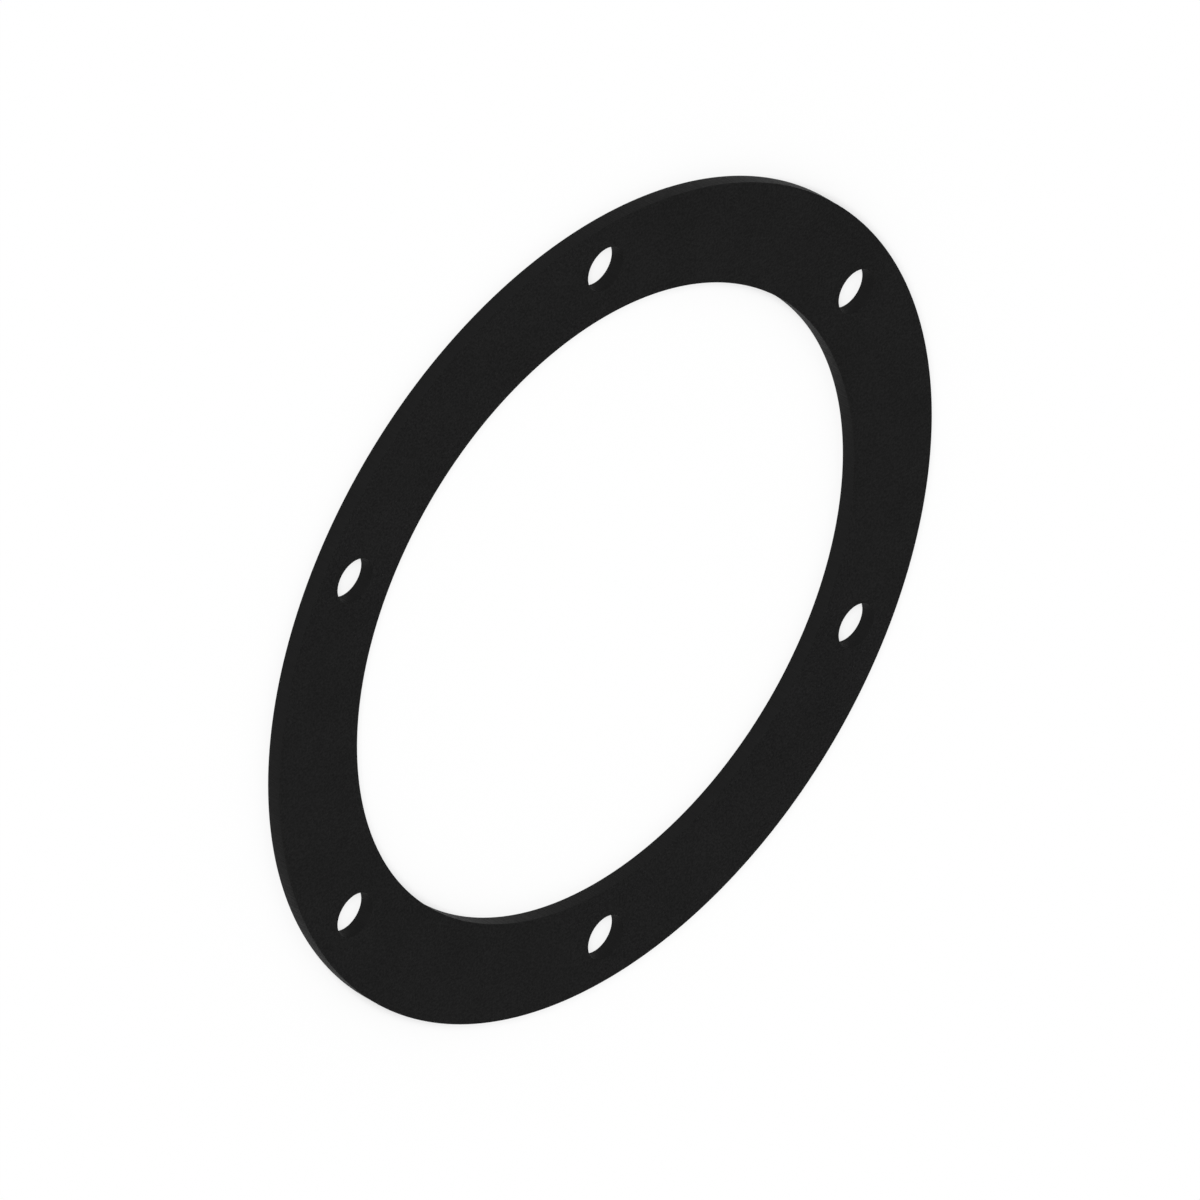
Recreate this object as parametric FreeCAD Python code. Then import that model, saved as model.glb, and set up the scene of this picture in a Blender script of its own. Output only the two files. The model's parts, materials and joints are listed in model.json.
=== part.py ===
# Flat rubber gasket for the round cover of a fuel tank, die-cut from one sheet.
#
# Units are millimetres. The gasket lies flat: its underside is on z = 0, the middle of its opening is
# the origin, +Z runs along the cover bolts, and +Y points to the first bolt hole.
import FreeCAD, Part
import math
import os

# The sheet that the gasket is cut from
SHEET_THICKNESS = 3.0

# The bolts of the cover, which go through the gasket
BOLT_DIAMETER = 8.0
BOLT_COUNT = 6
FIRST_BOLT_ANGLE = 90.0

# A bolt hole is this much wider than its bolt, across the diameter
BOLT_CLEARANCE = 1.0

# The ring, from the opening outwards: the rubber inside the bolt holes, and the rubber outside them
OPENING_DIAMETER = 128.0
INNER_LAND = 6.0
OUTER_LAND = 5.0

# Sizes that follow from the ones above
BOLT_HOLE_DIAMETER = BOLT_DIAMETER + BOLT_CLEARANCE
BOLT_CIRCLE_DIAMETER = OPENING_DIAMETER + 2 * INNER_LAND + BOLT_HOLE_DIAMETER
OUTER_DIAMETER = BOLT_CIRCLE_DIAMETER + BOLT_HOLE_DIAMETER + 2 * OUTER_LAND

CENTRE = FreeCAD.Vector(0, 0, 0)
UP = FreeCAD.Vector(0, 0, 1)


def cut_line(diameter, centre=CENTRE):
    """One round cut, drawn on the underside of the sheet."""
    return Part.Wire(Part.makeCircle(diameter / 2, centre, UP))


def bolt_hole_centres():
    """The middle of each bolt hole, evenly spaced on the bolt circle."""
    centres = []
    for index in range(BOLT_COUNT):
        angle = math.radians(FIRST_BOLT_ANGLE + index * 360 / BOLT_COUNT)
        direction = FreeCAD.Vector(math.cos(angle), math.sin(angle), 0)
        centres.append(direction * (BOLT_CIRCLE_DIAMETER / 2))
    return centres


def cutting_pattern():
    """What the die leaves of the sheet, seen flat: a ring with its opening and its bolt holes."""
    cut_lines = [cut_line(OUTER_DIAMETER), cut_line(OPENING_DIAMETER)]
    for centre in bolt_hole_centres():
        cut_lines.append(cut_line(BOLT_HOLE_DIAMETER, centre))
    return Part.makeFace(cut_lines, "Part::FaceMakerBullseye")


def gasket():
    """The cutting pattern through the whole thickness of the sheet."""
    return cutting_pattern().extrude(UP * SHEET_THICKNESS)


os.makedirs("parts", exist_ok=True)
gasket().exportStep("parts/gasket.step")
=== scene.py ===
# Looks of a flat black rubber gasket for the round cover of a fuel tank.
#
# Lengths are metres in the model's own frame: the gasket lies on z = 0, the middle of its opening is
# the origin, and +Y points to its first bolt hole.
import json
import math
import bpy
from mathutils import Matrix, Vector


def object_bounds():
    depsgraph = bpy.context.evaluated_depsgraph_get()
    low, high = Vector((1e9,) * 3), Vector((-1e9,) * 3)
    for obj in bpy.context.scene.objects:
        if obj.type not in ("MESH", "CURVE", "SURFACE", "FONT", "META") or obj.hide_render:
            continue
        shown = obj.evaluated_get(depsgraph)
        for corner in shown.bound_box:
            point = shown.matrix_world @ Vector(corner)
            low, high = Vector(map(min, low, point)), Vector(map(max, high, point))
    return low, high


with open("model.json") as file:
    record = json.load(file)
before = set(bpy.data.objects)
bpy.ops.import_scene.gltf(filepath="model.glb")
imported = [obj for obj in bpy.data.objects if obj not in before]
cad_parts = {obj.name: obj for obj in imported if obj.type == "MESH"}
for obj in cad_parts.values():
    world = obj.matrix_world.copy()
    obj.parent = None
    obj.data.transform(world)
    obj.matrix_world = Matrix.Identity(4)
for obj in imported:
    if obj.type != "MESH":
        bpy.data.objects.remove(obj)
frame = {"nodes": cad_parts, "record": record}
cad_low, cad_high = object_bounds()

MM = 0.001
MICRON = 0.001 * MM

# The first bolt hole. Angles are in degrees, counted from +X towards +Y.
FIRST_BOLT_ANGLE = 90

# The camera, seen from the gasket: an isometric view, turned so that the first bolt hole is at the top
VIEW_DIRECTION = Vector((-1, 1, 1))
PICTURE_SPAN = 218.5 * MM
CAMERA_DISTANCE = 1.0

# The key lamp stands behind the camera, a little higher, so that the gasket hides its own shadow. A
# matt surface that faces a light of 1 shows its own colour.
KEY_AZIMUTH = 135
KEY_ELEVATION = 42
KEY_SPREAD = 35
KEY_LIGHT = 1.0

# The sky lights everything softly, and is white to look at
SKY_LIGHT = 0.33
SKY_SEEN = 1.0

# The paper that the gasket lies on, and what lifts it to white where it is seen in full light
PAPER_SIZE = 6.0
PAPER_REFLECTANCE = 0.5
PAPER_LIFT = 1 - PAPER_REFLECTANCE

# The rounds are divided once more, and a point of a cut wall belongs to the round that it is this near
ROUND_DIVISIONS = 1
NEAR_A_ROUND = 1 * MM

# The die leaves the edges nearly sharp
CUT_EDGE_ROUNDING = 0.05 * MM
ROUNDING_STEPS = 3
SHARP_EDGE_ANGLE = 45

# How flat the surface lies where the cut wall ends, and where the skin of the sheet begins
WALL_ENDS = 0.1
SKIN_BEGINS = 0.95

# Patterns in the rubber: their lumps per millimetre along X, Y and Z, and their number of finer layers
GRAIN = ((2.4, 2.4, 2.4), 5.0)
ROLLING_LINES = ((0.09, 1.3, 1.0), 2.0)
CLOUDS = ((0.08, 0.08, 0.08), 2.0)
DIE_STREAKS = ((3.0, 3.0, 0.12), 3.0)

# The strength of a finer layer, as a share of the layer before it
FINER_LAYER_SHARE = 0.55

# The grain's values at the bottom of a pit and at the top of a peak
PIT_AND_PEAK = (0.3, 0.7)

# The skin on both faces of the sheet, from its pits to its peaks. Black is the share of light that is
# scattered, and a relief is in microns to each side.
# The skin's black is painted darker in the pits of the grain, as painted shade, and paler on its peaks,
# partly as a pale bloom and partly as painted light.
SKIN_BLACK_AND_PAINTED_PIT_SHADE = (0.0064, 0.0128)
SKIN_CLOUDING = (0.8, 1.2)
SKIN_ROUGHNESS = (0.86, 0.78)
GRAIN_RELIEF = 120
ROLLING_RELIEF = 25

# The walls that the die cut, which are a little smoother and finely streaked
WALL_BLACK = (0.0070, 0.0120)
WALL_ROUGHNESS = (0.45, 0.65)
STREAK_RELIEF = 70

# Rubber full of carbon black hardly shines
REFRACTIVE_INDEX = 1.5
SHINE = 0.035


def link_object(name, data):
    """A new object in the scene."""
    made = bpy.data.objects.new(name, data)
    bpy.context.scene.collection.objects.link(made)
    return made


def towards(azimuth, elevation=0):
    """The direction at an azimuth and an elevation."""
    a, e = math.radians(azimuth), math.radians(elevation)
    return Vector((math.cos(a) * math.cos(e), math.sin(a) * math.cos(e), math.sin(e)))


def grey(share):
    """The colour that scatters this share of the light, from 0 for black to 1 for white."""
    return (share, share, share, 1)


def add_camera(target):
    """An orthographic camera that looks at the target with the first bolt hole straight up."""
    back = VIEW_DIRECTION.normalized()
    right = towards(FIRST_BOLT_ANGLE).cross(back).normalized()
    up = back.cross(right)
    data = bpy.data.cameras.new("camera")
    data.type = "ORTHO"
    data.ortho_scale = PICTURE_SPAN
    camera = link_object("camera", data)
    turn = Matrix((right, up, back)).transposed().to_4x4()
    camera.matrix_world = Matrix.Translation(target + back * CAMERA_DISTANCE) @ turn
    bpy.context.scene.camera = camera


def add_sun(name, direction, spread, light):
    """A broad soft lamp far away in a direction."""
    data = bpy.data.lights.new(name, "SUN")
    data.energy = light * math.pi
    data.angle = math.radians(spread)
    lamp = link_object(name, data)
    lamp.rotation_mode = "QUATERNION"
    lamp.rotation_quaternion = direction.to_track_quat("Z", "Y")


class Nodes:
    """The nodes of one tree: makes them, sets them and links them."""

    def __init__(self, tree):
        self.tree = tree
        tree.nodes.clear()

    def add(self, kind, inputs=(), **settings):
        """A new node. Each input is a value, or the output of another node, under its name or number."""
        node = self.tree.nodes.new(kind)
        for name, value in settings.items():
            setattr(node, name, value)
        for name, value in dict(inputs).items():
            if isinstance(value, bpy.types.NodeSocket):
                self.tree.links.new(value, node.inputs[name])
            else:
                node.inputs[name].default_value = value
        return node

    def math(self, operation, first, second=0.0):
        """One operation on one or two numbers."""
        return self.add("ShaderNodeMath", {0: first, 1: second}, operation=operation).outputs[0]

    def vector(self, operation, first, second=(0, 0, 0)):
        """One operation on one or two vectors."""
        return self.add("ShaderNodeVectorMath", {0: first, 1: second}, operation=operation).outputs[0]

    def length(self, vector):
        """How long a vector is."""
        return self.add("ShaderNodeVectorMath", {0: vector}, operation="LENGTH").outputs["Value"]

    def flatness(self, normal):
        """0 where a surface stands upright, and 1 where it lies flat."""
        return self.math("ABSOLUTE", self.add("ShaderNodeSeparateXYZ", {0: normal}).outputs["Z"])

    def noise(self, position, lumps, layers):
        """Soft random values about 0.5, with so many lumps per unit of position along each axis."""
        inputs = {
            "Vector": self.vector("MULTIPLY", position, lumps),
            "Scale": 1.0,
            "Detail": layers,
            "Roughness": FINER_LAYER_SHARE,
        }
        return self.add("ShaderNodeTexNoise", inputs).outputs[0]

    def ramp(self, value, start, end):
        """Goes smoothly from 0 to 1 while value goes from start to end."""
        inputs = {"Value": value, "From Min": start, "From Max": end}
        return self.add("ShaderNodeMapRange", inputs, interpolation_type="SMOOTHSTEP").outputs[0]

    def between(self, share, first, second):
        """first where share is 0, second where it is 1."""
        inputs = {"Value": share, "To Min": first, "To Max": second}
        return self.add("ShaderNodeMapRange", inputs).outputs[0]

    def seen_rays(self):
        """1 for what is seen directly, in a reflection or through glass, and 0 for all other light."""
        path = self.add("ShaderNodeLightPath").outputs
        direct = self.math("MAXIMUM", path["Is Camera Ray"], path["Is Glossy Ray"])
        return self.math("MAXIMUM", direct, path["Is Transmission Ray"])


def add_world():
    """White all round to look at, and a soft even light on everything."""
    world = bpy.data.worlds.new("studio")
    world.use_nodes = True
    bpy.context.scene.world = world
    nodes = Nodes(world.node_tree)
    strength = nodes.between(nodes.seen_rays(), SKY_LIGHT, SKY_SEEN)
    sky = nodes.add("ShaderNodeBackground", {"Color": grey(1), "Strength": strength})
    nodes.add("ShaderNodeOutputWorld", {"Surface": sky.outputs[0]})


def new_material(name):
    """A new material, with its empty nodes."""
    material = bpy.data.materials.new(name)
    material.use_nodes = True
    return material, Nodes(material.node_tree)


def paper_material():
    """Pale matt paper, lifted to white where it is seen in full light."""
    material, nodes = new_material("pale_paper")
    paper = nodes.add("ShaderNodeBsdfDiffuse", {"Color": grey(PAPER_REFLECTANCE)})
    strength = nodes.between(nodes.seen_rays(), 0.0, PAPER_LIFT)
    lift = nodes.add("ShaderNodeEmission", {"Strength": strength})
    both = nodes.add("ShaderNodeAddShader", {0: paper.outputs[0], 1: lift.outputs[0]})
    nodes.add("ShaderNodeOutputMaterial", {"Surface": both.outputs[0]})
    return material


def add_floor():
    """The flat paper that the gasket lies on."""
    half = PAPER_SIZE / 2
    corners = [(-half, -half, 0), (half, -half, 0), (half, half, 0), (-half, half, 0)]
    mesh = bpy.data.meshes.new("floor")
    mesh.from_pydata(corners, [], [(0, 1, 2, 3)])
    mesh.materials.append(paper_material())
    link_object("floor", mesh)


def rubber_material():
    """Black rubber sheet, with a finely grained skin on both faces and streaks down the cut walls."""
    material, nodes = new_material("black_rubber")
    place = nodes.add("ShaderNodeTexCoord").outputs
    in_mm = nodes.vector("MULTIPLY", place["Object"], (1 / MM, 1 / MM, 1 / MM))
    skin = nodes.ramp(nodes.flatness(place["Normal"]), WALL_ENDS, SKIN_BEGINS)

    grain = nodes.noise(in_mm, *GRAIN)
    rolling = nodes.noise(in_mm, *ROLLING_LINES)
    clouds = nodes.noise(in_mm, *CLOUDS)
    streaks = nodes.noise(in_mm, *DIE_STREAKS)
    peaks = nodes.ramp(grain, *PIT_AND_PEAK)

    clouding = nodes.between(clouds, *SKIN_CLOUDING)
    # Painted shade in the grain's pits and paler peaks, partly a pale bloom and partly painted light,
    # times the random clouding.
    skin_black_and_pit_shade = nodes.math("MULTIPLY", nodes.between(peaks, *SKIN_BLACK_AND_PAINTED_PIT_SHADE), clouding)
    black = nodes.between(skin, nodes.between(streaks, *WALL_BLACK), skin_black_and_pit_shade)
    colour = nodes.add("ShaderNodeCombineColor", {0: black, 1: black, 2: black}).outputs[0]

    wall_roughness = nodes.between(streaks, *WALL_ROUGHNESS)
    roughness = nodes.between(skin, wall_roughness, nodes.between(peaks, *SKIN_ROUGHNESS))

    grain_relief = nodes.between(grain, -GRAIN_RELIEF, GRAIN_RELIEF)
    rolling_relief = nodes.between(rolling, -ROLLING_RELIEF, ROLLING_RELIEF)
    skin_relief = nodes.math("ADD", grain_relief, rolling_relief)
    wall_relief = nodes.between(streaks, -STREAK_RELIEF, STREAK_RELIEF)
    relief = nodes.between(skin, wall_relief, skin_relief)
    bump = nodes.add("ShaderNodeBump", {"Height": relief, "Distance": MICRON})

    inputs = {
        "Base Color": colour,
        "Roughness": roughness,
        "Normal": bump.outputs[0],
        "IOR": REFRACTIVE_INDEX,
        "Specular IOR Level": SHINE,
    }
    shader = nodes.add("ShaderNodeBsdfPrincipled", inputs)
    nodes.add("ShaderNodeOutputMaterial", {"Surface": shader.outputs[0]})
    return material


def die_cuts(gasket):
    """Centre and radius of each round that the die cut: the outside, the opening and the bolt holes."""
    dims = {mount["name"]: mount["dims"] for mount in frame["record"]["mounts"]}
    outside = max(vertex.co.xy.length for vertex in gasket.data.vertices)
    middle = Vector((0, 0, 0))
    cuts = [(middle, outside), (middle, dims["centre_opening"]["r_mm"] * MM)]
    bolts = dims["bolt_circle"]
    for index in range(bolts["count"]):
        direction = towards(FIRST_BOLT_ANGLE + index * 360 / bolts["count"])
        cuts.append((middle + direction * bolts["pcd_mm"] / 2 * MM, bolts["hole_r_mm"] * MM))
    return cuts


def true_rounds(cuts):
    """Divides a mesh more finely, with each point of a cut wall exactly on its round."""
    group = bpy.data.node_groups.new("true_rounds", "GeometryNodeTree")
    for in_out in ("INPUT", "OUTPUT"):
        group.interface.new_socket("Geometry", in_out=in_out, socket_type="NodeSocketGeometry")
    nodes = Nodes(group)
    given = nodes.add("NodeGroupInput").outputs[0]
    shape = nodes.add("GeometryNodeSubdivideMesh", {"Mesh": given, "Level": ROUND_DIVISIONS}).outputs[0]
    place = nodes.add("GeometryNodeInputPosition").outputs[0]
    normal = nodes.add("GeometryNodeInputNormal").outputs[0]
    on_wall = nodes.math("LESS_THAN", nodes.flatness(normal), SKIN_BEGINS)
    for centre, radius in cuts:
        from_axis = nodes.vector("MULTIPLY", nodes.vector("SUBTRACT", place, centre), (1, 1, 0))
        on_round = nodes.vector("MULTIPLY", nodes.vector("NORMALIZE", from_axis), (radius, radius, 0))
        shift = nodes.vector("SUBTRACT", on_round, from_axis)
        near = nodes.math("LESS_THAN", nodes.length(shift), NEAR_A_ROUND)
        inputs = {"Geometry": shape, "Selection": nodes.math("MULTIPLY", on_wall, near), "Offset": shift}
        shape = nodes.add("GeometryNodeSetPosition", inputs).outputs[0]
    nodes.add("NodeGroupOutput", {0: shape})
    return group


def dress_gasket(gasket):
    """The gasket with smooth rounds and its edges slightly rounded, in black rubber."""
    gasket.data.materials.clear()
    gasket.data.materials.append(rubber_material())
    weld = gasket.modifiers.new("joined_corners", "WELD")
    weld.merge_threshold = MICRON
    gasket.modifiers.new("true_rounds", "NODES").node_group = true_rounds(die_cuts(gasket))
    rounding = gasket.modifiers.new("cut_edges", "BEVEL")
    rounding.width = CUT_EDGE_ROUNDING
    rounding.segments = ROUNDING_STEPS
    rounding.limit_method = "ANGLE"
    rounding.angle_limit = math.radians(SHARP_EDGE_ANGLE)
    rounding.harden_normals = True


bpy.context.scene.view_settings.view_transform = "Standard"
dress_gasket(frame["nodes"]["gasket"])
add_camera((cad_low + cad_high) / 2)
add_world()
add_sun("key_lamp", towards(KEY_AZIMUTH, KEY_ELEVATION), KEY_SPREAD, KEY_LIGHT)
add_floor()
